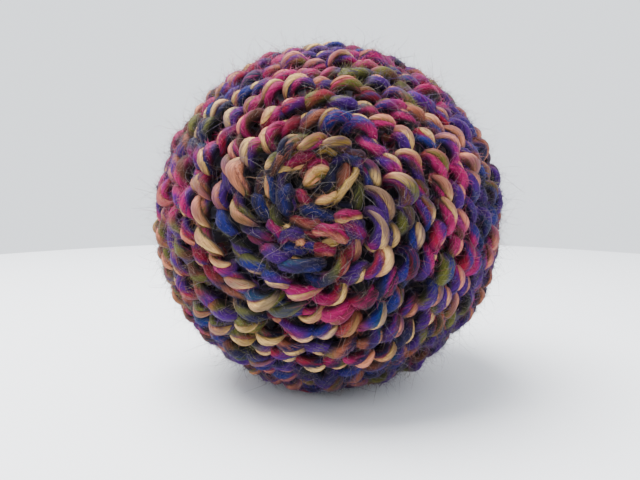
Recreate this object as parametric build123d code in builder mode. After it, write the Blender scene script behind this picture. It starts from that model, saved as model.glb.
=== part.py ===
"""A hand-knitted juggling ball, in its separate pieces.

Millimetres, +Z up, origin at the middle of the flat patch that the ball rests on. The knitting runs round an
axis that is nearly level: its closing pole looks towards -Y, a little upwards and a little towards -X.
"""

from build123d import *
import math
import os

# The ball
BALL_DIAMETER = 70.0
REST_PATCH_RADIUS = 10.0
POLE_RISE = 10.5  # degrees that the closing pole looks above the horizon
POLE_TURN = 4.0  # degrees that it looks away from -Y, towards -X

# The knitted cover
COURSES = 24  # rings of stitches between the two gathered poles
COURSE_RELIEF = 0.6  # how far a course stands out of the groove beside it
COVER_THICKNESS = 5.4
POLE_OPENING = 7.0  # degrees from the axis to the first course, where the drawn yarn closes the cover

# The drawn yarn at the poles
YARN_RADIUS = 0.8
DRAWN_RING_RADIUS = 2.75
KNOT_RADIUS = 1.7
GATHER_DEPTH = 1.8  # how far the middle of the gather lies under the outside of the ball
TAIL_RADIUS = 0.7
TAIL_ARC = 38.0  # degrees of the ball that a tucked tail runs round

# The liner, the wadding and the pouch, from the outside in
TAIL_SPACE = 1.7  # between the cover and the liner, where the tails are tucked
LINER_THICKNESS = 0.5
LINER_KNOT_RADIUS = 3.0
SOFT_GAP = 0.2  # air between two soft pieces that lie on each other
WADDING_THICKNESS = 2.8
SEAM_SPACE = 0.8  # between the wadding and the pouch, where the pouch's seam stands proud
POUCH_THICKNESS = 0.6
NECK_RADIUS = 2.2
NECK_FLARE = 3.4
NECK_LENGTH = 2.6
TIE_RADIUS = 0.5

# The pouch's seam
THREAD_RADIUS = 0.25
SEAM_START = 22.0  # degrees from the pouch's neck
SEAM_PITCH = 7.0
SEAM_STITCH = 4.2
SEAM_STITCHES = 21

# The filling
PEA_RADIUS = 3.3
PEA_GAP = 0.2

ball_radius = BALL_DIAMETER / 2
centre_height = math.sqrt(ball_radius**2 - REST_PATCH_RADIUS**2)
ball_centre = Vector(0, 0, centre_height)

pole = Vector(0, -1, 0).rotate(Axis.X, -POLE_RISE).rotate(Axis.Z, -POLE_TURN)
level_side = pole.cross(Vector(0, 0, 1)).normalized()
knit_axis = Axis(ball_centre, pole)
profile_plane = Plane(origin=ball_centre, x_dir=level_side, z_dir=level_side.cross(pole))

cover_inside = ball_radius - COVER_THICKNESS
liner_outside = cover_inside - TAIL_SPACE
liner_inside = liner_outside - LINER_THICKNESS
wadding_outside = liner_inside - SOFT_GAP
wadding_inside = wadding_outside - WADDING_THICKNESS
pouch_outside = wadding_inside - SEAM_SPACE
pouch_inside = pouch_outside - POUCH_THICKNESS
tail_course = cover_inside - TAIL_SPACE / 2
neck_top = pouch_outside + NECK_LENGTH
tie_height = pouch_outside + NECK_LENGTH / 2


def from_pole(radius, angle):
    """The point of the profile plane at this radius, angle degrees away from the closing pole."""
    return (radius * math.sin(math.radians(angle)), radius * math.cos(math.radians(angle)))


def meridian(clock):
    """The direction that points away from the knit axis, clock degrees round it from level."""
    return level_side.rotate(Axis((0, 0, 0), pole), clock)


def section_plane(angle, clock):
    """A plane across a meridian, with its X axis out through the ball at this angle from the closing pole."""
    side = meridian(clock)
    outward = pole * math.cos(math.radians(angle)) + side * math.sin(math.radians(angle))
    return Plane(origin=ball_centre, x_dir=outward, z_dir=pole.cross(side).cross(outward))


def hinge(clock):
    """The axis through the ball's centre that a section turns about to follow a meridian away from the pole."""
    return Axis(ball_centre, pole.cross(meridian(clock)))


def packed_seats(inside_radius, ball):
    """Centres of balls in closest packing that fit inside a sphere, counted from the sphere's centre."""
    half_pitch = ball + PEA_GAP / 2
    reach = int(inside_radius / half_pitch) + 1
    seats = []
    for layer in range(-reach, reach + 1):
        for row in range(-reach, reach + 1):
            for column in range(-reach, reach + 1):
                seat = Vector(
                    (2 * column + (row + layer) % 2) * half_pitch,
                    math.sqrt(3) * (row + (layer % 2) / 3) * half_pitch,
                    2 * math.sqrt(6) / 3 * layer * half_pitch,
                )
                if seat.length + ball + SOFT_GAP < inside_radius:
                    seats.append(seat)
    return seats


os.makedirs("parts", exist_ok=True)

# The knitted cover: one round ridge for each course, open at both poles and pressed flat where the ball rests.
course_pitch = (180 - 2 * POLE_OPENING) / COURSES
groove_radius = ball_radius - COURSE_RELIEF
with BuildPart() as knitted_cover:
    with BuildSketch(profile_plane):
        with BuildLine():
            for course in range(COURSES):
                near = POLE_OPENING + course * course_pitch
                ThreePointArc(
                    from_pole(groove_radius, near),
                    from_pole(ball_radius, near + course_pitch / 2),
                    from_pole(groove_radius, near + course_pitch),
                )
            Line(from_pole(groove_radius, 180 - POLE_OPENING), from_pole(cover_inside, 180 - POLE_OPENING))
            ThreePointArc(
                from_pole(cover_inside, 180 - POLE_OPENING),
                from_pole(cover_inside, 90),
                from_pole(cover_inside, POLE_OPENING),
            )
            Line(from_pole(cover_inside, POLE_OPENING), from_pole(groove_radius, POLE_OPENING))
        make_face()
    revolve(axis=knit_axis)
    split(bisect_by=Plane.XY, keep=Keep.TOP)
knitted_cover.part.label = "knitted_cover"
export_step(knitted_cover.part, "parts/knitted_cover.step")

# The yarn's end, drawn through the last stitches as a ring that closes the cover.
with BuildPart() as closing_ring:
    with BuildSketch(profile_plane):
        with Locations((DRAWN_RING_RADIUS, ball_radius - GATHER_DEPTH)):
            Circle(YARN_RADIUS)
    revolve(axis=knit_axis)
closing_ring.part.label = "closing_ring"
export_step(closing_ring.part, "parts/closing_ring.step")

# The knot that fastens it, in the middle of the ring.
with BuildPart(Plane(origin=ball_centre + pole * (ball_radius - GATHER_DEPTH), z_dir=pole)) as closing_knot:
    Sphere(KNOT_RADIUS)
closing_knot.part.label = "closing_knot"
export_step(closing_knot.part, "parts/closing_knot.step")

# The rest of the yarn's end, tucked between the cover and the liner.
closing_tail_clock = 250
with BuildPart() as closing_tail:
    with BuildSketch(section_plane(POLE_OPENING + 2, closing_tail_clock)):
        with Locations((tail_course, 0)):
            Circle(TAIL_RADIUS)
    revolve(axis=hinge(closing_tail_clock), revolution_arc=TAIL_ARC)
closing_tail.part.label = "closing_tail"
export_step(closing_tail.part, "parts/closing_tail.step")

# The first course's yarn, drawn up into a ring at the far pole.
with BuildPart() as starting_ring:
    with BuildSketch(profile_plane):
        with Locations((DRAWN_RING_RADIUS - YARN_RADIUS, GATHER_DEPTH - ball_radius)):
            Circle(YARN_RADIUS)
    revolve(axis=knit_axis)
starting_ring.part.label = "starting_ring"
export_step(starting_ring.part, "parts/starting_ring.step")

# The yarn's first end, tucked inside as well.
starting_tail_clock = 60
with BuildPart() as starting_tail:
    with BuildSketch(section_plane(180 - POLE_OPENING / 2 - TAIL_ARC, starting_tail_clock)):
        with Locations((tail_course, 0)):
            Circle(TAIL_RADIUS)
    revolve(axis=hinge(starting_tail_clock), revolution_arc=TAIL_ARC)
starting_tail.part.label = "starting_tail"
export_step(starting_tail.part, "parts/starting_tail.step")

# The stocking that holds the filling in.
with BuildPart(Plane.XY.offset(centre_height)) as stocking_liner:
    Sphere(liner_outside)
    Sphere(liner_inside, mode=Mode.SUBTRACT)
stocking_liner.part.label = "stocking_liner"
export_step(stocking_liner.part, "parts/stocking_liner.step")

# The stocking's knotted end, pressed flat under the gather.
knot_flat = LINER_KNOT_RADIUS - TAIL_RADIUS
with BuildPart() as liner_knot:
    with BuildSketch(profile_plane):
        with BuildLine():
            Polyline(
                (knot_flat, tail_course + TAIL_RADIUS),
                (0, tail_course + TAIL_RADIUS),
                (0, tail_course - TAIL_RADIUS),
                (knot_flat, tail_course - TAIL_RADIUS),
            )
            ThreePointArc(
                (knot_flat, tail_course - TAIL_RADIUS),
                (LINER_KNOT_RADIUS, tail_course),
                (knot_flat, tail_course + TAIL_RADIUS),
            )
        make_face()
    revolve(axis=knit_axis)
liner_knot.part.label = "liner_knot"
export_step(liner_knot.part, "parts/liner_knot.step")

# The wadding, wrapped round the pouch, with room in it for the pouch's neck.
with BuildPart() as wadding:
    with BuildSketch(profile_plane):
        Circle(wadding_outside)
        Circle(wadding_inside, mode=Mode.SUBTRACT)
        with Locations((0, neck_top / 2)):
            Rectangle(2 * (NECK_FLARE + SOFT_GAP), neck_top + 2 * SOFT_GAP, mode=Mode.SUBTRACT)
        with Locations((-ball_radius, 0)):
            Rectangle(BALL_DIAMETER, 2 * BALL_DIAMETER, mode=Mode.SUBTRACT)
    revolve(axis=knit_axis)
wadding.part.label = "wadding"
export_step(wadding.part, "parts/wadding.step")

# The cotton pouch: a round bag whose mouth is gathered into a neck, narrow where the tie goes.
neck_foot_angle = math.degrees(math.asin(NECK_FLARE / pouch_outside))
with BuildPart() as bean_pouch:
    with BuildSketch(profile_plane):
        with BuildLine():
            Line((0, pouch_inside), (0, neck_top))
            Line((0, neck_top), (NECK_FLARE, neck_top))
            ThreePointArc(
                (NECK_FLARE, neck_top),
                (NECK_RADIUS, tie_height),
                from_pole(pouch_outside, neck_foot_angle),
            )
            ThreePointArc(
                from_pole(pouch_outside, neck_foot_angle),
                from_pole(pouch_outside, 90),
                from_pole(pouch_outside, 180),
            )
            Line(from_pole(pouch_outside, 180), from_pole(pouch_inside, 180))
            ThreePointArc(
                from_pole(pouch_inside, 180),
                from_pole(pouch_inside, 90),
                from_pole(pouch_inside, 0),
            )
        make_face()
    revolve(axis=knit_axis)
bean_pouch.part.label = "bean_pouch"
export_step(bean_pouch.part, "parts/bean_pouch.step")

# The pouch's side seam: a row of short stitches down one meridian.
seam_clock = 90
with BuildPart() as pouch_seam:
    for stitch in range(SEAM_STITCHES):
        with BuildSketch(section_plane(SEAM_START + stitch * SEAM_PITCH, seam_clock)):
            with Locations((pouch_outside + SEAM_SPACE / 2, 0)):
                Circle(THREAD_RADIUS)
        revolve(axis=hinge(seam_clock), revolution_arc=SEAM_STITCH)
pouch_seam.part.label = "pouch_seam"
export_step(pouch_seam.part, "parts/pouch_seam.step")

# The thread that ties the neck.
with BuildPart() as pouch_tie:
    with BuildSketch(profile_plane):
        with Locations((NECK_RADIUS + TIE_RADIUS + SOFT_GAP / 2, tie_height)):
            Circle(TIE_RADIUS)
    revolve(axis=knit_axis)
pouch_tie.part.label = "pouch_tie"
export_step(pouch_tie.part, "parts/pouch_tie.step")

# The dried peas.
with BuildPart(Plane.XY.offset(centre_height)) as filling_peas:
    with Locations(*packed_seats(pouch_inside, PEA_RADIUS)):
        Sphere(PEA_RADIUS)
filling_peas.part.label = "filling_peas"
export_step(filling_peas.part, "parts/filling_peas.step")
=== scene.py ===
"""The looks of a hand-knitted juggling ball: its two-ply yarn, stitch by stitch, with its dyes and its fuzz.

Lengths in the knitting are millimetres from the ball's centre, and become metres when a mesh is made.
"""

import math

import bpy
import numpy as np
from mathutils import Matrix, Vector


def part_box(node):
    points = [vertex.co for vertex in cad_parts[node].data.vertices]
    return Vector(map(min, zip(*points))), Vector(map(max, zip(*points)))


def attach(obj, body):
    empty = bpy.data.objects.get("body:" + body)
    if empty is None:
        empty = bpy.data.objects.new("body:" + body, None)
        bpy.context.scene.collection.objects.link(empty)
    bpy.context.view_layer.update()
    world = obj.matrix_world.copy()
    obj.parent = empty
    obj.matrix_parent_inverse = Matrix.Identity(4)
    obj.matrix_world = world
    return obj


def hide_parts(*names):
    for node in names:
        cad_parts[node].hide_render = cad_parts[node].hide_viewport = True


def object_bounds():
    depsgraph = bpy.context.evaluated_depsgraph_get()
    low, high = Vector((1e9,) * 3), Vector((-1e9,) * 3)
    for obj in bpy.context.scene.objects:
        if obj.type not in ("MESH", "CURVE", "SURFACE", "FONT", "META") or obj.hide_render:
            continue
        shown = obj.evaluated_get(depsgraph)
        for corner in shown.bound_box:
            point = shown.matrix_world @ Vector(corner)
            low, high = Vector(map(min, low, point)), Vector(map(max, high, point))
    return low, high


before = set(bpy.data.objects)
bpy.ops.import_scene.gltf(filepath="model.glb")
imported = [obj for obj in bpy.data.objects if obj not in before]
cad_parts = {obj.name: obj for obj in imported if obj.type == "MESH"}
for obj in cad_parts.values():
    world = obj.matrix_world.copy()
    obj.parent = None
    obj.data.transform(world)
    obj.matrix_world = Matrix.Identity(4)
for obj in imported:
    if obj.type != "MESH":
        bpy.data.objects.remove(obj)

cad_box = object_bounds()
MM = 0.001
TURN = 2 * math.pi
SEED = 11
random = np.random.default_rng(SEED)


# ---------------------------------------------------------------- the ball's own frame

def unit(v):
    return v / np.linalg.norm(v, axis=-1, keepdims=True)


def middle(node):
    low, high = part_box(node)
    return (np.array(low) + np.array(high)) / 2


BALL_CENTRE = middle("stocking_liner")
BALL_RADIUS = (cad_box[1][0] - cad_box[0][0]) / 2 / MM
FLOOR = -BALL_CENTRE[2] / MM
POLE = unit(middle("closing_knot") - BALL_CENTRE)    # the closing pole, where the stitches are drawn together
RIGHT = unit(np.array([1.0, 0, 0]) - POLE[0] * POLE)
DOWN = np.cross(RIGHT, POLE)
UP = -DOWN


def on_ball(theta, phi, radius):
    """Points at theta from the closing pole and phi clockwise round it from the right, both in radians."""
    ring = np.cos(phi)[..., None] * RIGHT + np.sin(phi)[..., None] * DOWN
    return radius[..., None] * (np.cos(theta)[..., None] * POLE + np.sin(theta)[..., None] * ring)


# ---------------------------------------------------------------- smooth steps and random waves

def smooth(part):
    part = np.clip(part, 0, 1)
    return part * part * (3 - 2 * part)


def rise(values, start, over):
    """0 up to start, then smoothly up to 1."""
    return smooth((values - start) / over)


def eased(values, at):
    """values at the whole numbers, joined smoothly."""
    low = np.clip(np.floor(at).astype(int), 0, len(values) - 2)
    part = smooth(at - low)
    return values[low] * (1 - part) + values[low + 1] * part


def wander(at, pitch, amount):
    """A smooth random wave over at, with a new random height every pitch."""
    knots = random.normal(0, amount, int(at[-1] / pitch) + 3)
    return eased(knots, at / pitch)


# ---------------------------------------------------------------- the knitting

COURSES = 24
FIRST_COURSE = math.radians(7.0)   # where the cover's opening ends at each pole
COURSE_PITCH = (math.pi - 2 * FIRST_COURSE) / COURSES
WIDEST_COURSE = 50                 # stitches
SAMPLES = 24                       # points along the yarn in each stitch
SEAM = math.radians(-150)          # where each course of the spiral begins
YARN_COURSE = BALL_RADIUS - 2.65   # radius of the middle of the fabric

LOOP_SWING = 0.28                  # how far a loop runs over its neighbours, in stitches
LOOP_REACH = 0.3                   # from the middle of a course to the outer edge of its loops
LOOP_LEAN = 0.5                    # how far one end of a loop lies further from the pole than the other
LOOP_DEPTH = 1.4                   # how far the front of a loop stands out from the middle of the fabric
LOOP_ROLL = 0.35                   # how much sooner one end of a loop dives than the other, in radians

SWING_JITTER, REACH_JITTER, LEAN_JITTER, DEPTH_JITTER = 0.15, 0.15, 0.5, 0.1    # shares of the sizes above
OFF_COURSE_JITTER, FRONT_JITTER, PLACE_JITTER = 0.42, 0.36, 0.2    # off the course, outwards and along it
POLE_MESS, POLE_MESS_COURSES = 1.3, 2.5    # how much less even the closing pole is, and for how many courses
POLE_COURSES = 3.0                 # how many courses count as near the closing pole
CALM_RUN, CALM_SWING, CALM_START = 2.6, 0.5, -0.3    # the wave that makes some loops calm
CALM_REACH, CALM_DEPTH = 0.5, 0.4  # how much flatter the calm loops are
CALM_AT_POLE = 0.8                 # how few of them there are near the closing pole

# How the courses waver: the waves round the ball, their turn from pole to pole, their start, and their height.
SWAYS = [(5, 1.5, 0.0, 0.8), (9, -2.0, 1.0, 0.5), (14, 3.0, 2.2, 0.3)]


def stitch_counts():
    middles = FIRST_COURSE + (np.arange(COURSES) + 0.5) * COURSE_PITCH
    return np.round(WIDEST_COURSE * np.sin(middles)).astype(int)


def near_pole(course):
    """1 at the closing pole, and less and less from course to course."""
    return np.exp(-((course + 0.5) / POLE_COURSES) ** 2)


def sway(theta, phi):
    """How far the courses waver from their own circle, all in step, as hand knitting does when it is filled."""
    waves = sum(height * np.sin(count * phi + drift * theta + start) for count, drift, start, height in SWAYS)
    return waves * np.sin(theta) ** 2


def knit():
    """The yarn's centre line through every stitch of the spiral, and where each point is in the knitting."""
    counts = stitch_counts()
    stitches = int(counts.sum())
    q = np.arange(stitches * SAMPLES + 1) / SAMPLES    # stitches worked so far
    stitch = np.minimum(q.astype(int), stitches - 1)
    first = np.concatenate([[0], np.cumsum(counts)])   # the first stitch of each course
    course = np.searchsorted(first, stitch, side="right") - 1
    across = q - stitch - 0.5                          # -0.5 to 0.5 over the stitch
    t = TURN * across
    messy = 1 + POLE_MESS * np.exp(-(course + 0.5) / POLE_MESS_COURSES)

    def jitter(amount):
        """A random unevenness, with a new value every half stitch."""
        return eased(random.normal(0, amount, 2 * stitches + 3), 2 * q) * messy

    calm = rise(wander(q, CALM_RUN, CALM_SWING), CALM_START, 1) * (1 - CALM_AT_POLE * near_pole(course))
    place = across + LOOP_SWING * (1 + jitter(SWING_JITTER)) * np.sin(t)
    turn = (stitch - first[course] + 0.5 + place) / counts[course]
    reach = LOOP_REACH * (1 - CALM_REACH * calm) * (1 + jitter(REACH_JITTER)) * np.cos(t)
    reach += LOOP_LEAN * (1 + jitter(LEAN_JITTER)) * np.sin(t)
    reach += jitter(OFF_COURSE_JITTER)
    depth = LOOP_DEPTH * (1 - CALM_DEPTH * calm) * (1 + jitter(DEPTH_JITTER)) * np.cos(t + LOOP_ROLL)
    depth += jitter(FRONT_JITTER)
    theta = FIRST_COURSE + (course + turn) * COURSE_PITCH + reach / BALL_RADIUS
    phi = SEAM + TURN * turn + jitter(PLACE_JITTER) / (BALL_RADIUS * np.sin(theta))
    theta += sway(theta, phi) / BALL_RADIUS
    points = on_ball(theta, phi, YARN_COURSE + depth)
    return {"points": points, "length": along_length(points), "course": course, "phi": phi, "q": q,
            "first": first, "calm": calm}


def frames(points):
    """For each point of a line: its direction, outwards from the ball, and sideways."""
    along = unit(np.gradient(points, axis=0))
    out = unit(points)
    out = unit(out - (out * along).sum(1)[:, None] * along)
    return along, out, np.cross(out, along)


def along_length(points):
    return np.concatenate([[0], np.cumsum(np.linalg.norm(np.diff(points, axis=0), axis=1))])


# ---------------------------------------------------------------- the plies

THICK_RING, THIN_RING = 20, 12         # points round each ply
THICK_RADIUS, THIN_RADIUS = 1.2, 1.0
THICK_OFFSET, THIN_OFFSET = 0.2, 0.82  # from the yarn's centre line to each ply's
TWIST_START = math.radians(70)
TWIST_ROLL = math.radians(60)          # how far the plies turn back and forth over each stitch
HIDDEN_TURN = math.radians(70)         # how far the thin ply rolls under where the loops are calm
POLE_THINNER = 0.15                    # how much thinner the thick ply is near the closing pole
SIDE_FULLER = 0.07                     # how much thicker on the ball's side
FULLER_FROM, FULLER_OVER = 6, 4        # the course where that starts, and how many it takes
CALM_FULLER = 0.1                      # how much thicker where the loops are calm
THICK_SWELL, THIN_SWELL = (-0.28, 0.25), (-0.3, 0.3)    # the most that a random swelling takes or adds
THICK_BELLY = 0.08                     # how much of its thickness goes from a loop's front to its middle
THIN_BELLY, THIN_LEAST = 0.58, 0.3     # the same for the thin ply, and the least that is left of it
THIN_SHOWN = (0.55, 1.2)               # the least and the most that a loop shows of the thin ply
CALM_THINNER = 0.3                     # how much less of it shows where the loops are calm

# The uneven rovings that a ply is made of: how many ridges there are round it, and how high.
RIDGES = [(2, 0.1), (3, 0.06), (5, 0.035), (7, 0.025)]
RIDGE_TWIST = 0.4                      # their turn per millimetre
THIN_RIDGES = 0.6                      # how high they are on the thin ply, as a share

# The streaks of the fibres.
FIBRE_STRETCH = 0.12                   # how slowly the streaks change along a ply
THICK_FIBRE_TWIST, THIN_FIBRE_TWIST, STRAND_FIBRE_TWIST = 0.35, 0.5, 0.4    # radians per millimetre
THIN_FIBRE_START = 500                 # so that the two plies have other streaks


def spokes(ring):
    """The angles of the points round a ply, from its outer side."""
    return np.arange(ring) * TURN / ring


def tube(centres, radii, ring, rough=1.0):
    """Vertices round a line for a ply, made of rovings that swell and turn unevenly along it."""
    along, out, side = frames(centres)
    turn = spokes(ring)[None, :]
    length = along_length(centres)
    ridge = np.ones((len(centres), ring))
    for count, height in RIDGES:
        phase = RIDGE_TWIST * length + wander(length, pitch=4.0, amount=0.8)
        swell = rough * height * (1 + wander(length, pitch=3.0, amount=0.5))
        ridge += swell[:, None] * np.cos(count * (turn - phase[:, None]))
    round_it = np.cos(turn)[..., None] * out[:, None] + np.sin(turn)[..., None] * side[:, None]
    return centres[:, None] + (radii[:, None] * ridge)[..., None] * round_it


def tube_faces(rings, ring, start=0):
    """Quads between the rings, and a cap at each end."""
    base = start + np.arange(rings - 1)[:, None] * ring
    here = np.arange(ring)[None, :]
    after = (here + 1) % ring
    quads = np.stack([base + here, base + after, base + after + ring, base + here + ring], -1).reshape(-1, 4)
    last = start + (rings - 1) * ring
    caps = [list(range(start + ring - 1, start - 1, -1)), list(range(last, last + ring))]
    return quads.tolist() + caps


def fibre_vectors(length, ring, twist):
    """Texture places that run along a ply's fibres: round the ply in X and Y, and along it in Z."""
    turn = spokes(ring)[None, :] + twist * length[:, None]
    return np.stack([np.cos(turn), np.sin(turn), np.repeat(length[:, None], ring, 1) * FIBRE_STRETCH], -1)


def loop_front(yarn):
    """1 at the front of a loop and -1 at its back."""
    return np.cos(TURN * (yarn["q"] % 1 - 0.5))


def spin(yarn):
    """The thick and the thin ply, wound round each other along the yarn's line."""
    q, calm, course, length = (yarn[key] for key in ("q", "calm", "course", "length"))
    along, out, side = frames(yarn["points"])
    twist = TWIST_START + TWIST_ROLL * np.sin(TURN * (q - 0.5)) + wander(q, pitch=1.7, amount=0.75)
    twist = twist + calm * HIDDEN_TURN
    lean = np.cos(twist)[:, None] * out + np.sin(twist)[:, None] * side    # from the thick ply to the thin one
    front = loop_front(yarn)

    fullness = 1 - POLE_THINNER * near_pole(course) + SIDE_FULLER * rise(course, FULLER_FROM, FULLER_OVER)
    fullness += CALM_FULLER * calm
    uneven = 1 + np.clip(wander(length, pitch=5.0, amount=0.16), *THICK_SWELL)
    thick_radii = THICK_RADIUS * fullness * (1 - THICK_BELLY + THICK_BELLY * front) * uneven

    shown = (1 - CALM_THINNER * calm) * eased(random.uniform(*THIN_SHOWN, int(q[-1]) + 3), q)
    uneven = 1 + np.clip(wander(length, pitch=4.0, amount=0.12), *THIN_SWELL)
    thin_radii = THIN_RADIUS * shown * np.maximum(1 - THIN_BELLY + THIN_BELLY * front, THIN_LEAST) * uneven

    thick_line = yarn["points"] - THICK_OFFSET * lean
    thin_line = yarn["points"] + THIN_OFFSET * lean
    thick = {
        "line": thick_line,
        "verts": tube(thick_line, thick_radii, THICK_RING),
        "fibre": fibre_vectors(length, THICK_RING, THICK_FIBRE_TWIST),
    }
    thin = {
        "verts": tube(thin_line, thin_radii, THIN_RING, THIN_RIDGES),
        "fibre": fibre_vectors(length + THIN_FIBRE_START, THIN_RING, THIN_FIBRE_TWIST),
    }
    return twist, thick, thin


# ---------------------------------------------------------------- the dyes, and the light and shade painted on them

DYES = {
    "B": (6, 14, 78),      # royal blue
    "N": (12, 7, 40),      # navy
    "P": (44, 0, 76),      # violet
    "M": (122, 0, 64),     # magenta
    "C": (98, 0, 28),      # crimson
    "T": (0, 38, 64),      # teal
    "O": (70, 70, 22),     # olive
    "D": (14, 11, 14),     # nearly black
    "K": (58, 28, 18),     # brown
    "R": (112, 60, 42),    # russet
    "Y": (188, 150, 88),   # sand
    "S": (170, 104, 76),   # salmon
    "G": (124, 96, 30),    # mustard
}

# Each of the first courses' dyes from the right of the closing pole, clockwise, a letter for each
# twenty-fourth of a turn: the thick ply's and then the thin ply's.
DYE_CHART = [
    ("KMMMMCDNONDBBBBCCOCKOKKO", "YYSSSSDOODDYYYYYYOYYYYYO"),
    ("PPPMCCBTPMPOCSDNNOKKKNMB", "YYYYCSOYOPMSYSYONYGYGKNY"),
    ("KOPPPCMMBBPBPPPMMCNBBPPM", "OKYYYYYYYYOYSSYYSYGGYYYY"),
    ("PBBBDMMBTBMMPCMMMCOOMMPK", "OYDDDKYOYYYYSYSSYSYYYSYG"),
    ("MMMBBCBCNNCCMPCPMMPOBMBM", "YSYOYYYSYDYSYSSYGYSSOSYO"),
    ("PMBPPNPNOPOPPMNNBMMOPOBM", "SSOSSYYYYYSSSSYYYSSSSYSS"),
    ("PBPPNNNPOOPPMPNBNPMMOPBP", "SOSYYSYYYSSYSSYYSSSYSSSS"),
    ("PBPNPBNPNBNOKMKMCMPMBMPB", "SDSOSDSSOSYSSYSYSSYSSYSS"),
    ("BPPNBNPBPNOKMKCKMMPBMPPN", "DSOSDSOSSDSYSYSSYSYSSSDS"),
    ("PPBPNPBNNPKOCMKMKMBMPMBP", "SDDSOSDSSOSSYSSYSSYSDSSD"),
    ("BPNPPBNPBNKKMCMKMPMBMOPP", "DSSDSDOSSDSYSSYSYSSDSSSD"),
]

# The dyes of the rest of the ball, and how often each is drawn: the thick ply's, the thin ply's, and the second
# and third dyes of the thick ply, which also bleed into the thin one.
THICK_DYES, THICK_SHARES = "PBNMCOTD", (0.24, 0.2, 0.14, 0.17, 0.09, 0.09, 0.03, 0.04)
THIN_DYES, THIN_SHARES = "YSOGKCD", (0.32, 0.26, 0.1, 0.08, 0.1, 0.08, 0.06)
EDGE_DYES, EDGE_SHARES = "CKRPMONDT", (0.11, 0.1, 0.12, 0.2, 0.08, 0.12, 0.15, 0.07, 0.05)
DYE_RUNS = np.maximum(8, 0.8 * stitch_counts()).astype(int)    # in each course: a dye lasts for a stitch or two
DYE_BLEED = 0.5                        # the part of a run in which one dye turns into the next

# Where each blend starts and over how much it runs. Round a ply, 1 is one side and -1 the other.
NEAR_EDGE = (0.25, 0.7)                # the second dye, on the thick ply's side towards the thin one
AWAY_EDGE = (0.45, 0.6)                # the third dye, on its other side
BLEED_EDGE, BLEED = (-0.35, 1.2), 0.85     # the second dye on the thin ply's side towards the thick one
END_EDGE, END_BLEND = (-0.35, 0.9), 0.7    # the thick ply's dye on the thin one, where a loop goes to the back
RIM_EDGE = (0.15, 0.85)                # the thin ply's rim away from the thick one
RIM_LIGHT = 1.1                        # how light the thin ply is but for its rim
RIM_SHADE, RIM_DYE = 0.8, 0.35        # how much darker painted shade makes the rim, and how much of the thick ply's dye it takes
CREST_EDGE = (-0.05, 0.95)             # from a ply's sides to its outer side
SHADE_CREST, SHADE_SIDE = 1.13, 0.12   # how light a ply is where it faces outwards, and on its sides
DEEP_EDGE = (-0.7, 1.9)                # from deep in the fabric to its front, in millimetres from its middle
SHADE_DEEP = 0.3                       # how light the deep yarn is
POLE_SHADE = 0.35                     # how much painted shade darkens the courses near the closing pole


def linear(rgb):
    c = np.array(rgb) / 255
    return np.where(c <= 0.04045, c / 12.92, ((c + 0.055) / 1.055) ** 2.4)


def colours_of(letters):
    return np.array([linear(DYES[c]) for c in letters])


def drawn(dyes, shares, runs):
    return random.choice(list(dyes), runs, p=shares)


def dye_charts():
    """The colours round each course, for the thick and the thin ply."""
    thick, thin = [], []
    for i, runs in enumerate(DYE_RUNS):
        if i < len(DYE_CHART):
            letters = DYE_CHART[i]
        else:
            letters = drawn(THICK_DYES, THICK_SHARES, runs), drawn(THIN_DYES, THIN_SHARES, runs)
        thick.append(colours_of(letters[0]))
        thin.append(colours_of(letters[1]))
    return thick, thin


def second_chart():
    """The colours round each course, for one more of the yarn's dyes."""
    return [colours_of(drawn(EDGE_DYES, EDGE_SHARES, runs)) for runs in DYE_RUNS]


def dyed(chart, yarn):
    """The chart's colour at each point of the yarn, with a short bleed from each of its dyes into the next."""
    colour = np.empty((len(yarn["phi"]), 3))
    for i, dyes in enumerate(chart):
        here = yarn["course"] == i
        runs = len(dyes)
        at = (yarn["phi"][here] / TURN) % 1 * runs
        low = np.floor(at).astype(int)
        part = smooth((at - low - 0.5) / DYE_BLEED + 0.5)[:, None]
        colour[here] = dyes[low % runs] * (1 - part) + dyes[(low + 1) % runs] * part
    return colour


def crest_light(ring):
    """How light a ply is round its ring: the fibres that face outwards catch the light, the rest less."""
    light = SHADE_SIDE + (SHADE_CREST - SHADE_SIDE) * rise(np.cos(spokes(ring)), *CREST_EDGE)
    return light[None, :, None]


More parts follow.
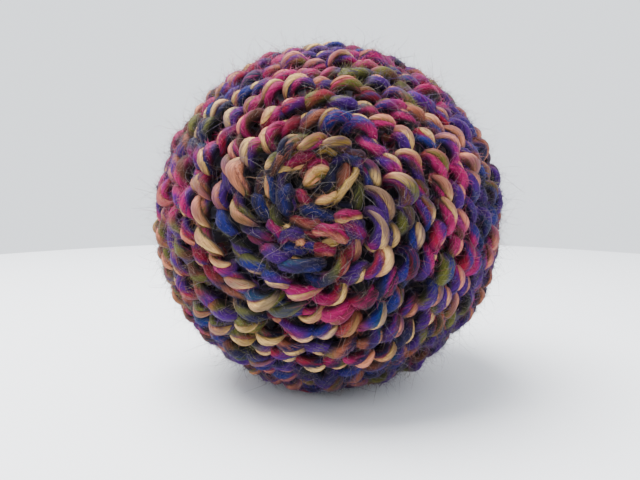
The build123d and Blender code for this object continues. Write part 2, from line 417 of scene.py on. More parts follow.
def paint(yarn, twist, thick, thin):
    """Gives both plies their dyes and their streaks' second dyes, with light and shade painted on them: darker
    where the yarn lies deep, near the closing pole, on the plies' sides and at the thin ply's rim, and lighter
    on their outer sides.
    """
    length = yarn["length"]

    def wave(pitch, amount):
        return wander(length, pitch, amount)[:, None]

    thick_chart, thin_chart = dye_charts()
    edge_chart, far_chart = second_chart(), second_chart()
    charts = (thick_chart, edge_chart, far_chart, thin_chart)
    core, edge, far, pale = (dyed(chart, yarn)[:, None] for chart in charts)

    facing = np.cos(spokes(THICK_RING)[None, :] - twist[:, None])    # 1 on the side where the thin ply lies
    near = rise(facing + wave(pitch=3.0, amount=0.3), *NEAR_EDGE)[..., None]
    away = rise(-facing + wave(pitch=4.0, amount=0.4), *AWAY_EDGE)[..., None]
    thick_dye = core * (1 - near - away).clip(0, 1) + edge * near + far * away

    facing = np.cos(spokes(THIN_RING)[None, :] - twist[:, None])     # -1 on the side where the thick ply lies
    bled = BLEED * rise(-facing + wave(pitch=3.0, amount=0.4), *BLEED_EDGE)[..., None]
    thin_dye = pale * (1 - bled) + edge * bled
    ends = END_BLEND * rise(wave(pitch=3.0, amount=0.25) - loop_front(yarn)[:, None], *END_EDGE)[..., None]
    thin_dye = thin_dye * (1 - ends) + core * ends
    # painted shade darkens the thin ply's rim away from the thick ply; the rim also takes some of the thick
    # ply's dye
    rim = rise(facing + wave(pitch=3.0, amount=0.2), *RIM_EDGE)[..., None]
    thin_dye = thin_dye * (RIM_LIGHT - RIM_SHADE * rim) + core * RIM_DYE * rim

    # painted shade: the yarn is darker where it lies deep in the fabric, and on the courses near the closing
    # pole
    height = np.linalg.norm(yarn["points"], axis=1) - YARN_COURSE
    light = SHADE_DEEP + (1 - SHADE_DEEP) * rise(height, *DEEP_EDGE)
    light = (light * (1 - POLE_SHADE * near_pole(yarn["course"])))[:, None, None]
    # both plies' colours and their streaks' second dyes take the painted shade above, and painted light and
    # shade round each ply
    for ply, ring, dye, fleck in ((thick, THICK_RING, thick_dye, far), (thin, THIN_RING, thin_dye, edge)):
        ply["dye"] = dye * light * crest_light(ring)
        ply["fleck"] = fleck * light * crest_light(ring)


# ---------------------------------------------------------------- meshes

REST_ZONE = 3.0     # height above the floor in which the ball is pressed
REST_REACH = 1.7    # how far it would reach under the floor if it weren't


def settled(points):
    """The points with the underside of the ball pressed flat on the floor."""
    height = points[..., 2] - FLOOR
    power = (REST_ZONE + REST_REACH) / REST_ZONE
    share = np.clip((height + REST_REACH) / (REST_ZONE + REST_REACH), 0, 1)
    moved = points.copy()
    moved[..., 2] = np.where(height < REST_ZONE, REST_ZONE * share**power, height) + FLOOR
    return moved


def make_mesh(name, verts, faces, paints, materials, slots=None, fibres=None):
    """A piece from points about the ball's centre, with its paints, a colour for each point under each name."""
    mesh = bpy.data.meshes.new(name)
    mesh.from_pydata((settled(verts) * MM + BALL_CENTRE).tolist(), [], faces)
    mesh.polygons.foreach_set("use_smooth", [True] * len(mesh.polygons))
    for material in materials:
        mesh.materials.append(material)
    if slots is not None:
        mesh.polygons.foreach_set("material_index", slots)
    for layer, values in paints.items():
        colours = np.hstack([values, np.ones((len(values), 1))])
        attribute = mesh.color_attributes.new(layer, "FLOAT_COLOR", "POINT")
        attribute.data.foreach_set("color", colours.astype(np.float32).ravel())
    if fibres is not None:
        attribute = mesh.attributes.new("fibre", "FLOAT_VECTOR", "POINT")
        attribute.data.foreach_set("vector", fibres.astype(np.float32).ravel())
    mesh.update()
    piece = bpy.data.objects.new(name, mesh)
    bpy.context.collection.objects.link(piece)
    return piece


# ---------------------------------------------------------------- materials

SPECULAR = 0.1                       # wool and cloth shine little
SHEEN_TINT = (0.85, 0.75, 1.0, 1)
WOOL_ROUGHNESS, HAIR_ROUGHNESS = 0.6, 0.7
WOOL_SHEEN, WOOL_SHEEN_ROUGHNESS = 0.07, 0.45
STREAK_LOW, STREAK_HIGH = 0.3, 0.7   # the noise's values at the darkest and at the lightest streaks
FLECK_LOW, FLECK_HIGH = 0.5, 0.68    # and where the second dye starts and is at its fullest
FLECK_MOST = 0.8                     # how much of the dye it covers there
FLECK_FINER = 1.7                    # how much finer its streaks are
WOOL_BUMP, WOOL_RAISED = 0.6, 0.3    # how strongly the fibres are raised, and how far in millimetres
INNER_SHEEN, INNER_RAISED = 0.2, 0.1 # the sheen and the raised pattern of what is inside the cover


def node(tree, kind, **values):
    made = tree.nodes.new(kind)
    for name, value in values.items():
        setattr(made, name, value)
    return made


def set_inputs(made, **values):
    for name, value in values.items():
        made.inputs[name.replace("_", " ")].default_value = value


def plain_principled(name, roughness, sheen=0.0, sheen_roughness=0.5):
    material = bpy.data.materials.new(name)
    material.use_nodes = True
    tree = material.node_tree
    shader = tree.nodes["Principled BSDF"]
    set_inputs(shader, Roughness=roughness, Sheen_Weight=sheen, Sheen_Roughness=sheen_roughness,
               Sheen_Tint=SHEEN_TINT, Specular_IOR_Level=SPECULAR)
    return material, tree, shader


def mapped(tree, source, low, high, to_low, to_high):
    """The source's values from low to high, as values from to_low to to_high."""
    made = node(tree, "ShaderNodeMapRange")
    set_inputs(made, From_Min=low, From_Max=high, To_Min=to_low, To_Max=to_high)
    tree.links.new(source, made.inputs["Value"])
    return made.outputs["Result"]


def raised_by(tree, shader, height, strength, distance):
    """Makes the shader's surface follow a height, over a distance in millimetres."""
    bump = node(tree, "ShaderNodeBump")
    set_inputs(bump, Strength=strength, Distance=distance * MM)
    tree.links.new(height, bump.inputs["Height"])
    tree.links.new(bump.outputs["Normal"], shader.inputs["Normal"])


def wool(name, streak, contrast):
    """Yarn: its dyed colour with light and shade painted on it, streaked along the fibres, with finer streaks of
    a second dyed colour, and the fibres raised.
    """
    material, tree, shader = plain_principled(name, WOOL_ROUGHNESS, WOOL_SHEEN, WOOL_SHEEN_ROUGHNESS)
    dye = node(tree, "ShaderNodeAttribute", attribute_name="dye")
    fleck = node(tree, "ShaderNodeAttribute", attribute_name="fleck")
    fibre = node(tree, "ShaderNodeAttribute", attribute_name="fibre")
    strands = node(tree, "ShaderNodeTexNoise")
    set_inputs(strands, Scale=streak, Detail=5.0, Roughness=0.6)
    finer = node(tree, "ShaderNodeTexNoise")
    set_inputs(finer, Scale=streak * FLECK_FINER, Detail=3.0)
    for noise in (strands, finer):
        tree.links.new(fibre.outputs["Vector"], noise.inputs["Vector"])
    share = mapped(tree, finer.outputs["Fac"], FLECK_LOW, FLECK_HIGH, 0.0, FLECK_MOST)
    flecked = node(tree, "ShaderNodeMix", data_type="RGBA")
    tree.links.new(share, flecked.inputs["Factor"])
    tree.links.new(dye.outputs["Color"], flecked.inputs["A"])
    tree.links.new(fleck.outputs["Color"], flecked.inputs["B"])
    tinted = node(tree, "ShaderNodeVectorMath", operation="SCALE")
    streak_tone = mapped(tree, strands.outputs["Fac"], STREAK_LOW, STREAK_HIGH, 1 - contrast, 1 + contrast)
    tree.links.new(flecked.outputs["Result"], tinted.inputs[0])
    tree.links.new(streak_tone, tinted.inputs["Scale"])
    tree.links.new(tinted.outputs["Vector"], shader.inputs["Base Color"])
    raised_by(tree, shader, strands.outputs["Fac"], WOOL_BUMP, WOOL_RAISED)
    return material


def patterned(name, texture, scale, dark, light, roughness, bump):
    """A material whose colour and height follow one procedural texture."""
    material, tree, shader = plain_principled(name, roughness, INNER_SHEEN)
    place = node(tree, "ShaderNodeTexCoord")
    pattern = node(tree, texture)
    set_inputs(pattern, Scale=scale)
    tree.links.new(place.outputs["Object"], pattern.inputs["Vector"])
    height = pattern.outputs["Fac"] if "Fac" in pattern.outputs else pattern.outputs["Distance"]
    ramp = node(tree, "ShaderNodeValToRGB")
    ramp.color_ramp.elements[0].color = (*linear(dark), 1)
    ramp.color_ramp.elements[1].color = (*linear(light), 1)
    tree.links.new(height, ramp.inputs["Fac"])
    tree.links.new(ramp.outputs["Color"], shader.inputs["Base Color"])
    raised_by(tree, shader, height, bump, INNER_RAISED)
    return material


def painted(name, roughness):
    """A material that shows only its piece's colour: its dyes with light and shade painted on them."""
    material, tree, shader = plain_principled(name, roughness)
    dye = node(tree, "ShaderNodeAttribute", attribute_name="dye")
    tree.links.new(dye.outputs["Color"], shader.inputs["Base Color"])
    return material


# ---------------------------------------------------------------- the courses

thick_wool = wool("dyed_wool", streak=3.4, contrast=0.55)
thin_wool = wool("marl_wool", streak=4.6, contrast=0.5)
yarn = knit()
twist, thick, thin = spin(yarn)
paint(yarn, twist, thick, thin)


def make_courses():
    """One piece for each course of the spiral after the first, with both plies."""
    made = []
    for i in range(1, COURSES):
        part = slice(yarn["first"][i] * SAMPLES, yarn["first"][i + 1] * SAMPLES + 1)
        rings = part.stop - part.start
        thick_faces = tube_faces(rings, THICK_RING)
        thin_faces = tube_faces(rings, THIN_RING, rings * THICK_RING)
        both = {
            key: np.concatenate([ply[key][part].reshape(-1, 3) for ply in (thick, thin)])
            for key in ("verts", "dye", "fleck", "fibre")
        }
        made.append(make_mesh(
            f"course_{i + 1:02d}",
            both["verts"],
            thick_faces + thin_faces,
            {"dye": both["dye"], "fleck": both["fleck"]},
            [thick_wool, thin_wool],
            [0] * len(thick_faces) + [1] * len(thin_faces),
            both["fibre"],
        ))
    return made


courses = make_courses()

for piece in courses:
    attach(piece, "root")


# ---------------------------------------------------------------- the gathered stitches at the closing pole

# Each strand: its points in millimetres right of and above the pole, as seen from outside, its thickness and
# how far it is sunk, and its dyes from its left side across its front to its right side.
GATHER = [
    ([(0.8, -1.2), (2.1, -0.75), (3.5, -0.1)], 0.85, 0.3, "SYG"),
    ([(3.7, -0.7), (4.9, 0.8), (5.9, 2.5), (6.8, 3.9), (7.0, 5.2)], 0.72, 0.0, "GYY"),
    ([(4.1, 1.2), (5.0, 2.8), (5.6, 4.4), (5.5, 5.8)], 1.15, 0.8, "KRC"),
    ([(1.0, 1.2), (2.3, 2.7), (3.2, 4.6), (4.6, 6.3)], 1.15, 1.1, "NDN"),
    ([(3.0, 1.0), (3.5, 2.6), (3.9, 4.4)], 0.8, 1.3, "DOD"),
    ([(-0.9, 2.3), (0.2, 3.2), (1.5, 4.0)], 1.2, 0.2, "SYGO"),
    ([(-0.8, 4.8), (0.5, 5.4), (2.0, 5.3)], 0.75, 0.3, "CMC"),
    ([(-1.7, 3.9), (-1.2, 5.0), (-0.7, 6.2)], 0.6, 0.6, "KCK"),
    ([(-4.6, 5.3), (-2.7, 6.0), (-0.6, 7.0)], 0.95, 0.2, "CMC"),
    ([(-3.4, 4.8), (-2.3, 4.85), (-1.3, 5.3)], 0.5, 0.4, "SY"),
    ([(-5.8, 4.1), (-4.9, 4.4), (-4.1, 4.8)], 0.62, 0.0, "YY"),
    ([(-6.9, 3.9), (-7.0, 2.0), (-6.7, -0.4)], 0.85, 0.2, "NBT"),
    ([(-5.2, 3.8), (-5.4, 2.2), (-5.1, 0.7)], 1.15, 0.3, "DPN"),
    ([(-4.9, 1.2), (-5.1, -0.3), (-4.6, -2.0)], 1.15, 0.15, "NBN"),
    ([(-3.9, 1.0), (-3.8, -0.3), (-3.4, -1.6)], 0.6, 0.5, "PN"),
    ([(-2.9, 0.5), (-1.9, -0.1), (-1.1, -0.9)], 0.85, 0.5, "CMC"),
    ([(-1.7, -0.9), (-1.5, -1.4), (-1.6, -1.9)], 0.32, 0.4, "SK"),
    ([(-7.7, 4.0), (-8.0, 2.5), (-7.9, 0.6)], 0.6, 0.0, "SY"),
    ([(-1.4, -2.7), (0.3, -2.8), (2.2, -3.3), (3.6, -3.6)], 1.15, 0.8, "NBN"),
    ([(-3.5, -4.2), (-1.6, -4.7), (0.9, -4.6)], 0.8, 0.4, "CRK"),
    ([(-1.0, -3.7), (0.6, -3.9), (2.2, -4.0)], 0.7, 0.7, "NPK"),
    ([(4.1, -3.5), (5.6, -3.2), (7.1, -3.2)], 1.15, 0.1, "MCYY"),
    ([(0.6, -5.9), (2.7, -5.9), (4.9, -6.3)], 1.3, 0.1, "MCSS"),
    ([(-6.8, -1.9), (-6.5, -3.2), (-5.6, -4.4)], 0.9, 0.9, "DO"),
    ([(-7.5, -4.6), (-6.8, -5.5), (-5.9, -6.4)], 0.95, 0.3, "MP"),
    ([(-4.7, -5.4), (-4.1, -5.1), (-3.6, -5.3)], 0.4, 0.35, "YK"),
    ([(-5.6, -7.2), (-4.1, -6.4), (-2.4, -6.3)], 1.1, 0.2, "PPM"),
    ([(-2.3, -6.0), (-0.9, -6.1), (0.4, -6.6)], 0.9, 0.8, "DCD"),
    ([(5.2, -5.0), (6.6, -5.3), (7.8, -6.3)], 1.2, 0.2, "PMP"),
    ([(3.0, -4.0), (4.2, -4.5), (5.2, -5.6)], 0.85, 0.9, "PD"),
    ([(-7.2, 5.8), (-6.0, 6.9), (-4.6, 7.6)], 1.05, 0.3, "NB"),
    ([(-3.6, 7.0), (-2.2, 7.5), (-0.9, 8.2)], 0.75, 0.1, "OG"),
    ([(3.9, 6.1), (5.3, 6.8), (7.0, 6.9)], 0.9, 0.5, "NPN"),
    ([(0.0, 6.3), (1.4, 6.9), (3.0, 6.6)], 0.95, 0.8, "KDK"),
    ([(7.2, 1.8), (7.5, 0.0), (7.3, -1.9)], 1.0, 0.9, "OD"),
    ([(0.9, 7.7), (2.3, 8.0), (3.7, 7.6)], 0.8, 0.1, "GKG"),
    ([(-3.3, 3.4), (-2.4, 2.2), (-1.5, 1.2)], 0.85, 1.6, "DD"),
    ([(4.5, -1.2), (5.7, -1.6), (6.8, -1.3)], 0.8, 1.3, "DN"),
    ([(-4.6, -3.0), (-3.4, -3.2), (-2.4, -2.9)], 0.8, 1.5, "DN"),
    ([(-8.7, 3.8), (-9.3, 2.2), (-9.5, 0.3)], 1.05, 0.8, "NKD"),
    ([(-9.6, 0.2), (-9.3, -1.6), (-8.4, -3.2)], 1.05, 0.6, "BND"),
    ([(-8.5, -0.4), (-8.0, -1.9), (-7.9, -3.4)], 0.7, 1.2, "KY"),
    ([(-2.9, -7.9), (-2.3, -7.6), (-1.7, -7.9)], 0.55, 0.0, "SY"),
    ([(-4.9, -8.9), (-3.4, -8.7), (-1.9, -9.2)], 1.0, 0.5, "BP"),
    ([(-1.7, -8.5), (-0.6, -8.4), (0.4, -9.0)], 0.9, 0.5, "PBN"),
    ([(0.3, -8.9), (1.6, -8.6), (3.0, -9.0)], 1.0, 0.2, "CMS"),
    ([(1.8, -8.3), (3.1, -7.7), (4.6, -7.0)], 0.75, 0.1, "YGK"),
    ([(-0.6, -7.3), (0.4, -7.6), (1.6, -7.5)], 0.8, 1.1, "DK"),
    ([(5.6, -7.9), (6.9, -7.6), (8.2, -6.6)], 0.9, 0.6, "PN"),
]
GATHER_FRONT = BALL_RADIUS - 1.9     # radius of the middle of a strand that isn't sunk
GATHER_SHADE = 0.51                  # painted shade on the gathered and the starting stitches: how light they are
GATHER_SLIMMER = 0.95                # the strands' thickness, as a share of the table's
STRAND_STEPS = 48
STRAND_ENDS = 0.5                    # how far a strand goes on at each end
STRAND_WAVE = 0.16                   # how far it waves to a side
STRAND_MIDDLE, STRAND_TAPER = 1.1, 0.6   # its radius in the middle, and how much of it goes at the ends
DIVE, DIVE_POWER = 3.2, 3.2          # how far a strand's ends go in, and how late
STRAND_END_SHADE = 0.12                   # how light its ends are, in painted shade where they go deep
STRAND_DEEP_EDGE = (0.3, 0.6)        # where it darkens from its middle, 0, to its ends, 1
STRIPE_SPREAD = 0.62                 # how far round a strand its dyes reach


def through(points, steps):
    """A smooth line through the points."""
    held = np.concatenate([2 * points[:1] - points[1:2], points, 2 * points[-1:] - points[-2:-1]])
    at = np.linspace(0, len(points) - 1 - 1e-9, steps)
    i = at.astype(int)
    f = (at - i)[:, None]
    a, b, c, d = held[i], held[i + 1], held[i + 2], held[i + 3]
    return 0.5 * (2 * b + (c - a) * f + (2 * a - 5 * b + 4 * c - d) * f**2 + (3 * b - a - 3 * c + d) * f**3)


class Strands:
    """Strands of thick ply collected for one mesh."""

    def __init__(self):
        self.lines, self.verts, self.dyes, self.flecks, self.fibres, self.faces = [], [], [], [], [], []
        self.count = 0

    def add(self, centres, radii, dye, fleck):
        verts = tube(centres, radii, THICK_RING)
        self.lines.append(centres)
        self.verts.append(verts)
        # the strand's colour here already holds its painted shade
        self.dyes.append(dye)
        self.flecks.append(np.broadcast_to(linear(DYES[fleck]), verts.shape))
        length = along_length(centres) + 7 * self.count    # another start for each strand's streaks
        self.fibres.append(fibre_vectors(length, THICK_RING, STRAND_FIBRE_TWIST))
        self.faces += tube_faces(len(centres), THICK_RING, self.count)
        self.count += verts.size // 3

    def mesh(self, name):
        verts, dye, fleck, fibres = (
            np.concatenate(part).reshape(-1, 3) for part in (self.verts, self.dyes, self.flecks, self.fibres))
        return make_mesh(name, verts, self.faces, {"dye": dye, "fleck": fleck}, [thick_wool], fibres=fibres)


def striped(letters, length, ring):
    """A strand's colours, from its left side across its front to its right side, a little unevenly along it."""
    dyes = colours_of(letters)
    place = 0.5 - STRIPE_SPREAD * np.sin(spokes(ring)[None, :]) + wander(length, pitch=2.0, amount=0.1)[:, None]
    place = place.clip(0, 1) * (len(dyes) - 1)
    low = np.minimum(place.astype(int), len(dyes) - 2)
    part = smooth(place - low)[..., None]
    return dyes[low] * (1 - part) + dyes[low + 1] * part


def lay_strand(strands, points, thickness, sunk, letters, pole, right):
    """Adds one stitch of the gathers: an arched strand with its ends deep in the fabric."""
    flat = np.array(points)
    flat = np.concatenate([
        flat[:1] - STRAND_ENDS * unit(flat[1:2] - flat[:1]),
        flat,
        flat[-1:] + STRAND_ENDS * unit(flat[-1:] - flat[-2:-1]),
    ])
    steps = np.arange(STRAND_STEPS)
    line = through(flat, STRAND_STEPS)
    line = line + np.stack([wander(steps, pitch=14, amount=STRAND_WAVE) for _ in range(2)], -1)
    part = np.linspace(-1, 1, STRAND_STEPS)
    radius = GATHER_FRONT - sunk - DIVE * np.abs(part) ** DIVE_POWER
    theta = np.linalg.norm(line, axis=1) / BALL_RADIUS
    direction = unit(line[:, :1] * right + line[:, 1:] * UP + 1e-9)
    centres = radius[:, None] * (np.cos(theta)[:, None] * pole + np.sin(theta)[:, None] * direction)
    taper = (STRAND_MIDDLE - STRAND_TAPER * part**2) * (1 + wander(steps, pitch=10, amount=0.1))
    # painted shade: the strands darker overall, and darker still towards their deep ends
    light = GATHER_SHADE * (1 - (1 - STRAND_END_SHADE) * rise(np.abs(part), *STRAND_DEEP_EDGE))[:, None, None]
    dye = striped(letters, along_length(centres), THICK_RING) * light * crest_light(THICK_RING)
    strands.add(centres, GATHER_SLIMMER * thickness * taper, dye, letters[0])


def make_gather():
    strands = Strands()
    for points, thickness, sunk, letters in GATHER:
        lay_strand(strands, points, thickness, sunk, letters, POLE, RIGHT)
    return strands.mesh("gathered_stitches"), strands


START_STITCHES = 9
START_DYES = "BPMCYSNK"
START_LINE = [(1.5, 0.0), (2.9, 0.35), (4.6, 0.55)]    # a stitch's points: from the pole, and how far round it
START_THICKNESS, START_SUNK = 1.1, (0.2, 0.8)
START_STRAY = 0.15                   # how unevenly they stand, in shares of their spacing


def make_start():
    """The cast-on stitches at the other pole, drawn in round a small hole."""
    strands = Strands()
    for i in range(START_STITCHES):
        turn = TURN * (i + random.uniform(-START_STRAY, START_STRAY)) / START_STITCHES
        points = [(reach * math.cos(turn + lag), reach * math.sin(turn + lag)) for reach, lag in START_LINE]
        letters = "".join(random.choice(list(START_DYES), 3))
        lay_strand(strands, points, START_THICKNESS, random.uniform(*START_SUNK), letters, -POLE, -RIGHT)
    return strands.mesh("starting_stitches"), strands


gather, gather_strands = make_gather()
start, start_strands = make_start()
for piece in (gather, start):
    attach(piece, "root")
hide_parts("knitted_cover")
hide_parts("closing_ring", "closing_knot")
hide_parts("starting_ring")


# ---------------------------------------------------------------- fuzz

HAIR_RADIUS = 0.02
HAIR_THINNEST, HAIR_THICKEST = 0.55, 1.15    # shares of that radius
HAIR_TIP = 0.4                       # the last ring's radius, as a share, before the point
HAIR_SIDES = 3
HAIR_LIMIT = 4.5                     # how far a hair may reach from the ball
HAIR_CLEAR = 0.3                     # and how near to the floor
HAIR_ROOT = 0.1                      # how deep its root is in the yarn
HAIR_PALES = np.array([linear(rgb) for rgb in ((142, 136, 134), (136, 120, 108), (108, 98, 92))])
HALO_ZONE, SURFACE_ZONE = 1.3, 3.0   # how far in from the ball's outside the roots of hairs may be
OUTER_SIDE = 0.2                     # the cosine of how far round a ply from its outer side they may be
HAIR_STRAY, BEND_STRAY = 0.45, 0.9   # how far a hair leaves its ply's direction, at its root and further on
HAIR_CLIMB = (0.3, 1.6)              # the least and the most that one rises, in shares of lift
SIDE_OUT, BEND_CLIMB, BEND_OUT = 0.5, 0.35, 0.3    # how much outwards counts in a hair's start and in its bend
CURL, CURL_TURN = 0.2, (4, 9)        # how far a hair curls, in shares of its length, and over how many radians

# Each kind of hair: how many pieces it comes in, 0 for one piece without a number, and the hairs in each.
# joints are the points along a hair; lengths are in millimetres; lift is how much it rises from its ply, and
# outward how much it stands out from the ball; thickness is in shares of HAIR_RADIUS; palest is how much of its
# colour may turn pale grey, and the last is a painted lift: how much lighter than the yarn's painted colour the
# rest of it is, which on the halo paints a glow at the ball's rim.
FUZZ = [
    ("halo_fuzz", 5, dict(count=9700, joints=4, shortest=0.5, longest=1.9, lift=0.5, outward=1.2,
                          thickness=2.1, palest=0.45, painted_light_gain=2.3)),
    ("loose_hairs", 0, dict(count=1400, joints=9, shortest=3.5, longest=9.0, lift=0.4, outward=0.45,
                            thickness=1.5, palest=0.6, painted_light_gain=1.2)),
    ("surface_fuzz", 3, dict(count=6000, joints=6, shortest=1.8, longest=7.0, lift=0.3, outward=0.0,
                             thickness=1.3, palest=0.9, painted_light_gain=1.2)),
    ("short_fuzz", 5, dict(count=13500, joints=3, shortest=0.5, longest=1.9, lift=0.5, outward=0.0,
                           thickness=2.0, palest=0.3, painted_light_gain=1.2)),
]


def hair_ground():
    """Where hairs can grow: the thick ply's and the strands' lines, directions, points and colours, which hold
    painted shade.
    """
    strands = [
        (line[::2], frames(line)[0][::2], verts[::2], dye[::2])
        for made in (gather_strands, start_strands)
        for line, verts, dye in zip(made.lines, made.verts, made.dyes)
    ]
    ply = (thick["line"], frames(yarn["points"])[0], thick["verts"], thick["dye"])
    return [np.concatenate(parts) for parts in zip(ply, *strands)]


ground_lines, ground_along, ground_verts, ground_dyes_and_shade = hair_ground()


def grow(count, joints, shortest, longest, lift, outward):
    """The curves of random hairs, the direction outwards at each, and the place that it grows from."""
    fit = np.linalg.norm(ground_verts, axis=2) > BALL_RADIUS - (HALO_ZONE if outward else SURFACE_ZONE)
    fit &= np.cos(spokes(THICK_RING))[None] > OUTER_SIDE
    fit[:yarn["first"][1] * SAMPLES] = False    # the first course isn't made
    places = np.argwhere(fit)
    ring, spoke = places[random.integers(0, len(places), count)].T
    root = ground_verts[ring, spoke]
    surface = unit(root - ground_lines[ring])
    root = root - HAIR_ROOT * surface
    out = unit(root)
    run = ground_along[ring] * random.choice([-1, 1], count)[:, None]
    run = unit(run + random.normal(0, HAIR_STRAY, (count, 3)))
    climb = lift * random.uniform(*HAIR_CLIMB, count)[:, None]
    begin = unit(run + climb * (surface + SIDE_OUT * out) + outward * out)
    bend = run + random.normal(0, BEND_STRAY, (count, 3))
    bend = unit(bend + (BEND_CLIMB * climb + BEND_OUT * outward) * out)
    reach = shortest * (longest / shortest) ** random.uniform(0, 1, count)[:, None]
    elbow = root + begin * reach * 0.5
    tip = elbow + bend * reach * 0.5
    part = np.linspace(0, 1, joints)[None, :, None]
    line = (1 - part) ** 2 * root[:, None] + 2 * part * (1 - part) * elbow[:, None] + part**2 * tip[:, None]
    curl = np.cross(begin, out)[:, None] * random.normal(0, CURL, (count, 1, 1)) * reach[:, None]
    line = line + curl * np.sin(part * random.uniform(*CURL_TURN, (count, 1, 1))) * part
    far = np.linalg.norm(line, axis=2, keepdims=True)
    return line / far * np.minimum(far, BALL_RADIUS + HAIR_LIMIT), out, ring, spoke


def hair_faces(count, rings):
    """Faces for three-sided hairs: quads between the rings, a point at the tip and a cap at the root."""
    first = np.arange(count)[:, None, None] * (rings * HAIR_SIDES + 1)
    here = np.arange(HAIR_SIDES)[None, None, :]
    after = (here + 1) % HAIR_SIDES
    low = first + np.arange(rings - 1)[None, :, None] * HAIR_SIDES
    quads = np.stack([low + here, low + after, low + after + HAIR_SIDES, low + here + HAIR_SIDES], -1)
    last = first + (rings - 1) * HAIR_SIDES
    tips = np.stack([last + here, last + after, last + HAIR_SIDES + 0 * here], -1)
    caps = np.stack([first + 2, first + 1, first], -1)
    return quads.reshape(-1, 4).tolist() + tips.reshape(-1, 3).tolist() + caps.reshape(-1, 3).tolist()


def make_fuzz(name, count, joints, shortest, longest, lift, outward, thickness, palest, painted_light_gain):
    """Fine hairs with their roots in the yarn's outer side. FUZZ says what each value is."""
    line, out, ring, spoke = grow(count, joints, shortest, longest, lift, outward)
    kept = line[..., 2].min(1) > FLOOR + HAIR_CLEAR
    line, out = line[kept], out[kept]
    heading = unit(line[:, -1] - line[:, 0])
    across = unit(np.cross(heading, out))
    upward = np.cross(across, heading)
    rings = joints - 1
    radii = thickness * HAIR_RADIUS * random.uniform(HAIR_THINNEST, HAIR_THICKEST, len(line))[:, None]
    radii = radii * np.linspace(1, HAIR_TIP, rings)
    turn = spokes(HAIR_SIDES)
    round_it = np.cos(turn)[:, None] * across[:, None, None] + np.sin(turn)[:, None] * upward[:, None, None]
    verts = line[:, :-1, None] + radii[..., None, None] * round_it
    verts = np.concatenate([verts.reshape(len(line), -1, 3), line[:, -1:]], axis=1)
    grey = random.uniform(0, palest, count)[:, None]
    pale = HAIR_PALES[random.integers(0, len(HAIR_PALES), count)]
    # a hair takes the yarn's colour at its root, painted shade included, made lighter by a painted lift, and
    # some pale grey
    dye = (ground_dyes_and_shade[ring, spoke] * (1 - grey) * painted_light_gain + pale * grey)[kept]
    paints = {"dye": np.repeat(dye, verts.shape[1], axis=0)}
    return make_mesh(name, verts.reshape(-1, 3), hair_faces(len(line), rings), paints, [wool_hair])


wool_hair = painted("wool_hair", HAIR_ROUGHNESS)
for kind, pieces, values in FUZZ:
    for name in [f"{kind}_{i}" for i in range(1, pieces + 1)] or [kind]:
        piece = make_fuzz(name, **values)
        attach(piece, "root")


# ---------------------------------------------------------------- what is inside the cover

# Each look: the CAD nodes that have it, its texture and how fine that is, its two colours, and its roughness
# and bump.
INNER_LOOKS = {
    "dark_nylon": (
        ("stocking_liner", "liner_knot"), "ShaderNodeTexNoise", 900, (16, 15, 20), (46, 42, 50), 0.6, 0.3),
    "tail_yarn": (
        ("closing_tail", "starting_tail"), "ShaderNodeTexNoise", 160, (34, 4, 78), (112, 10, 60), 0.8, 0.5),
    "pale_wadding": (
        ("wadding",), "ShaderNodeTexNoise", 420, (176, 172, 164), (226, 223, 216), 0.95, 0.8),
    "cotton_cloth": (
        ("bean_pouch",), "ShaderNodeTexVoronoi", 1600, (150, 138, 116), (204, 194, 172), 0.9, 0.5),
    "sewing_thread": (
        ("pouch_seam", "pouch_tie"), "ShaderNodeTexVoronoi", 3000, (178, 170, 156), (230, 225, 212), 0.7, 0.4),
    "dried_peas": (
        ("filling_peas",), "ShaderNodeTexVoronoi", 420, (122, 132, 60), (196, 184, 104), 0.6, 0.5),
}


def dress_inside():
    for look, (names, *values) in INNER_LOOKS.items():
        material = patterned(look, *values)
        for name in names:
            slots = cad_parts[name].data.materials
            slots.clear()
            slots.append(material)


dress_inside()


# ---------------------------------------------------------------- floor, light and camera

FLOOR_RADIUS = 0.27                 # metres
FLOOR_SIDES = 128
FLOOR_COLOUR, FLOOR_ROUGHNESS = (0.8, 0.81, 0.83, 1), 0.6
SKY_COLOUR, SKY_STRENGTH = (0.86, 0.9, 0.95, 1), 1.87
LAMP_ENERGY, LAMP_SIZE, LAMP_PLACE = 6.4, 0.3, (-0.12, -0.02, 0.4)    # watts and metres


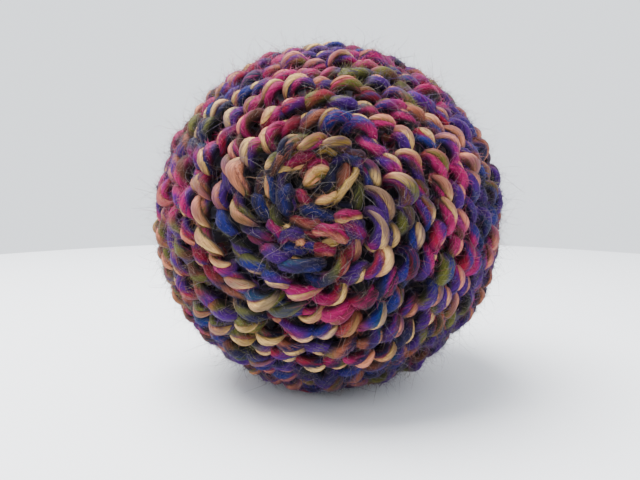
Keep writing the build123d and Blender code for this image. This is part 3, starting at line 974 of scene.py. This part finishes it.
def make_floor():
    turn = spokes(FLOOR_SIDES)
    edge = np.stack([FLOOR_RADIUS * np.cos(turn), FLOOR_RADIUS * np.sin(turn), 0 * turn], -1)
    mesh = bpy.data.meshes.new("floor")
    mesh.from_pydata(edge.tolist(), [], [list(range(FLOOR_SIDES))])
    floor = bpy.data.objects.new("floor", mesh)
    bpy.context.collection.objects.link(floor)
    material, tree, shader = plain_principled("pale_floor", FLOOR_ROUGHNESS)
    set_inputs(shader, Base_Color=FLOOR_COLOUR)
    mesh.materials.append(material)


def make_light():
    world = bpy.data.worlds.new("studio")
    bpy.context.scene.world = world
    world.use_nodes = True
    set_inputs(world.node_tree.nodes["Background"], Color=SKY_COLOUR, Strength=SKY_STRENGTH)
    lamp = bpy.data.lights.new("softbox", "AREA")
    lamp.energy = LAMP_ENERGY
    lamp.size = LAMP_SIZE
    softbox = bpy.data.objects.new("softbox", lamp)
    bpy.context.collection.objects.link(softbox)
    softbox.location = LAMP_PLACE
    target = Vector(BALL_CENTRE) - softbox.location
    softbox.rotation_euler = target.to_track_quat("-Z", "Y").to_euler()


CAMERA_SENSOR = 36                  # millimetres wide
CAMERA_LENS = 33.1875               # millimetres
CAMERA_NEAREST = 0.01               # metres
CAMERA_DISTANCE = 3.554 * BALL_RADIUS * MM
CAMERA_RISE = math.radians(4)       # how far the camera is above the ball's centre
CAMERA_AIM = (-0.0135593, -0.0347458, -1)    # past the ball's centre, from the camera: right, up and back


def make_camera():
    camera = bpy.data.cameras.new("camera")
    camera.sensor_width = CAMERA_SENSOR
    camera.lens = CAMERA_LENS
    camera.clip_start = CAMERA_NEAREST
    eye = bpy.data.objects.new("camera", camera)
    bpy.context.collection.objects.link(eye)
    back = Vector((0, -math.cos(CAMERA_RISE), math.sin(CAMERA_RISE)))
    eye.location = Vector(BALL_CENTRE) + back * CAMERA_DISTANCE
    level = (-back).to_track_quat("-Z", "Y")
    aim = level @ Vector(CAMERA_AIM)
    eye.rotation_euler = aim.to_track_quat("-Z", "Y").to_euler()
    bpy.context.scene.camera = eye


make_floor()
make_light()
make_camera()
